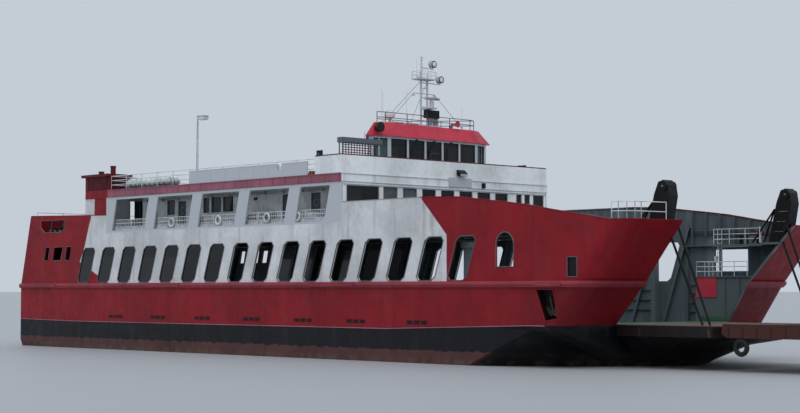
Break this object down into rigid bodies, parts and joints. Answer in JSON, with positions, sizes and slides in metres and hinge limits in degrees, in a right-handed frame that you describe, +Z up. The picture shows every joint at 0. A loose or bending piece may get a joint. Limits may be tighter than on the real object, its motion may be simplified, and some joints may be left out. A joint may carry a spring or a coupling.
{
  "type": "1:2 scale model of a passenger and vehicle ferry",
  "caption": "Passenger and vehicle ferry with bow ramp, stern flap, open car deck, saloon, galleries and wheelhouse, as a half-size model afloat.",
  "frame": {"origin": "on the centreline, amidships, at the waterline", "axes": "+X to the bow, +Y to port, +Z up"},
  "size_m": [37.45, 9.95, 11.65],
  "materials": {
    "hull_black": "semi-gloss marine paint, black topside with red-brown antifouling below",
    "hull_red": "weathered semi-gloss red marine paint",
    "white_paint": "weathered white marine paint with rust runs",
    "deck_green": "worn matt deck paint",
    "grey_paint": "matt grey paint over stiffened plate",
    "visor_red": "satin bright red paint",
    "rusted_steel": "rusted and scraped steel plate",
    "dark_steel": "sooty black paint",
    "bronze": "cast propeller bronze",
    "tyre_rubber": "worn lorry tyre used as a fender"
  },
  "bodies": {
    "ship": {"hull": "hull_black", "car_deck": "deck_green", "stern_frame": "hull_red", "stern_sill": "dark_steel", "bow_sill": "rusted_steel", "saloon_deck": "white_paint", "saloon_front": "white_paint", "saloon_aft_wall": "white_paint", "top_deck": "white_paint", "top_deck_rail": "white_paint", "stair": "grey_paint", "bridge_bulwark": "white_paint", "wheelhouse": "white_paint", "wheelhouse_roof": "visor_red", "roof_rail": "white_paint", "bridge_awning": "grey_paint", "mast": "white_paint", "lamp_pole": "white_paint", "side_shell_starboard": "hull_red", "side_shell_port": "hull_red", "gallery_frame_starboard": "white_paint", "gallery_frame_port": "white_paint", "gallery_rail_starboard": "white_paint", "gallery_rail_port": "white_paint", "saloon_side_starboard": "white_paint", "saloon_side_port": "white_paint", "screen_starboard": "white_paint", "screen_port": "white_paint", "funnel_starboard": "hull_red", "funnel_port": "hull_red", "raft_rack_starboard": "white_paint", "raft_rack_port": "white_paint", "bow_wing_starboard": "hull_red", "bow_wing_port": "hull_red", "strake_starboard": "hull_red", "strake_port": "hull_red", "bow_platform_starboard": "grey_paint", "bow_platform_port": "grey_paint", "bow_rail_starboard": "white_paint", "bow_rail_port": "white_paint", "bow_casing_starboard": "grey_paint", "bow_casing_port": "grey_paint", "vent_trunk_starboard": "grey_paint", "vent_trunk_port": "grey_paint", "hoist_tower_starboard": "dark_steel", "hoist_tower_port": "dark_steel", "anchor_starboard": "dark_steel", "anchor_port": "dark_steel"},
    "bow_ramp": {"bow_ramp": "rusted_steel", "ramp_fender": "tyre_rubber"},
    "stern_flap": {"stern_flap": "dark_steel"},
    "propeller_starboard": {"propeller_starboard": "bronze"},
    "propeller_port": {"propeller_port": "bronze"},
    "rudder_starboard": {"rudder_starboard": "hull_black"},
    "rudder_port": {"rudder_port": "hull_black"},
    "radar_scanner": {"radar_scanner": "white_paint"},
    "wheelhouse_door_starboard": {"wheelhouse_door_starboard": "grey_paint"},
    "wheelhouse_door_port": {"wheelhouse_door_port": "grey_paint"}
  },
  "joints": [
    {"name": "bow_ramp_hinge", "type": "hinge", "parent": "ship", "child": "bow_ramp", "pos_m": [16.25, 0, 1.135], "axis": [0, -1, 0], "range_deg": [-8, 88]},
    {"name": "stern_flap_hinge", "type": "hinge", "parent": "ship", "child": "stern_flap", "pos_m": [-16.2, 0, 1.025], "axis": [0, 1, 0], "range_deg": [-6, 86]},
    {"name": "propeller_starboard_spin", "type": "hinge", "parent": "ship", "child": "propeller_starboard", "pos_m": [-14.175, -2.1, -0.875], "axis": [1, 0, 0], "continuous": true},
    {"name": "propeller_port_spin", "type": "hinge", "parent": "ship", "child": "propeller_port", "pos_m": [-14.175, 2.1, -0.875], "axis": [1, 0, 0], "continuous": true},
    {"name": "rudder_starboard_turn", "type": "hinge", "parent": "ship", "child": "rudder_starboard", "pos_m": [-15.125, -2.1, -0.875], "axis": [0, 0, 1], "range_deg": [-35, 35]},
    {"name": "rudder_port_turn", "type": "hinge", "parent": "ship", "child": "rudder_port", "pos_m": [-15.125, 2.1, -0.875], "axis": [0, 0, 1], "range_deg": [-35, 35]},
    {"name": "radar_spin", "type": "hinge", "parent": "ship", "child": "radar_scanner", "pos_m": [2.45, 0, 8.7], "axis": [0, 0, 1], "continuous": true},
    {"name": "door_starboard_hinge", "type": "hinge", "parent": "ship", "child": "wheelhouse_door_starboard", "pos_m": [1.2249, -1.8322, 6.4], "axis": [0, 0, 1], "range_deg": [0, 95]},
    {"name": "door_port_hinge", "type": "hinge", "parent": "ship", "child": "wheelhouse_door_port", "pos_m": [1.2249, 1.8322, 6.4], "axis": [0, 0, -1], "range_deg": [0, 95]}
  ],
  "couplings": [
    {"joint": "rudder_port_turn", "follows": "rudder_starboard_turn", "ratio": 1}
  ]
}
